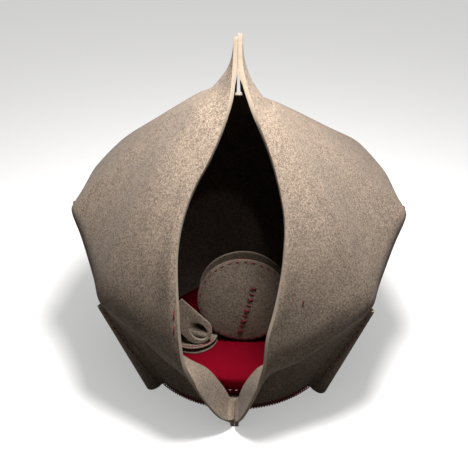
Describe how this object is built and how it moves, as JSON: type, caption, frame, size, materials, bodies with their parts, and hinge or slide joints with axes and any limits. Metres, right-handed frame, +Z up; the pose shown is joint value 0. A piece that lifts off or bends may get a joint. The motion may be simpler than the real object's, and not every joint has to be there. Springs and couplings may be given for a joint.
{
  "type": "pod chair",
  "caption": "Freestanding cocoon-shaped felt pod chair with a lens-shaped front slit, whip-stitched round base, fin feet, round seat pad, loose cushions and a felt hand loop.",
  "frame": {"origin": "on the floor at the centre of the round base disc", "axes": "+Z up, -Y towards the front slit, +X to the right seen from the front"},
  "size_m": [1.1094, 0.9763, 1.1654],
  "materials": {
    "shell_felt": "thick heathered wool felt",
    "cushion_felt": "thick heathered wool felt",
    "pad_fabric": "crimson wool cloth",
    "core_fabric": "crimson wool cloth",
    "yarn": "dark red wool yarn",
    "pad_thread": "light grey thread"
  },
  "bodies": {
    "shell": {"back_seam_stitches": "yarn", "base_disc": "shell_felt", "left_back_panel": "shell_felt", "left_base_stitches": "yarn", "left_corner_stitch": "yarn", "left_front_dart_stitches": "yarn", "left_front_foot": "shell_felt", "left_front_panel": "shell_felt", "left_lower_back_wall": "shell_felt", "left_lower_front_wall": "shell_felt", "left_lower_side_wall": "shell_felt", "left_rear_dart_stitches": "yarn", "left_rear_foot": "shell_felt", "left_side_panel": "shell_felt", "right_back_panel": "shell_felt", "right_base_stitches": "yarn", "right_corner_stitch": "yarn", "right_front_dart_stitches": "yarn", "right_front_foot": "shell_felt", "right_front_panel": "shell_felt", "right_lower_back_wall": "shell_felt", "right_lower_front_wall": "shell_felt", "right_lower_side_wall": "shell_felt", "right_rear_dart_stitches": "yarn", "right_rear_foot": "shell_felt", "right_side_panel": "shell_felt"},
    "left_flap": {"left_flap": "shell_felt", "left_flap_stitches": "yarn"},
    "right_flap": {"right_flap": "shell_felt", "right_flap_stitches": "yarn"},
    "seat_pad": {"seat_pad": "pad_fabric", "seat_pad_stitches": "pad_thread"},
    "back_cushion": {"back_cushion_core": "core_fabric", "back_cushion_cross_stitches": "yarn", "back_cushion_edge_stitches": "yarn", "back_cushion_front_felt": "cushion_felt", "back_cushion_rear_felt": "cushion_felt"},
    "side_cushion": {"side_cushion_bottom_felt": "cushion_felt", "side_cushion_core": "core_fabric", "side_cushion_stitches": "yarn", "side_cushion_top_felt": "cushion_felt", "hand_loop": "cushion_felt"}
  },
  "joints": [
    {"name": "left_flap_opening", "type": "hinge", "parent": "shell", "child": "left_flap", "pos_m": [-0.2549, -0.2525, 0.7343], "axis": [-0.4188, -0.3905, -0.8199], "range_deg": [0, 12], "stiffness_Nm_per_rad": 6},
    {"name": "right_flap_opening", "type": "hinge", "parent": "shell", "child": "right_flap", "pos_m": [0.2549, -0.2525, 0.7343], "axis": [-0.4188, 0.3905, 0.8199], "range_deg": [0, 12], "stiffness_Nm_per_rad": 6},
    {"name": "seat_pad_lift", "type": "slide", "parent": "shell", "child": "seat_pad", "axis": [0, 0, 1], "range_m": [0, 0.05]},
    {"name": "back_cushion_lift", "type": "slide", "parent": "seat_pad", "child": "back_cushion", "axis": [0, 0, 1], "range_m": [0, 0.2]},
    {"name": "side_cushion_shift", "type": "slide", "parent": "seat_pad", "child": "side_cushion", "axis": [-0.8978, -0.1, 0.4289], "range_m": [0, 0.1]}
  ]
}
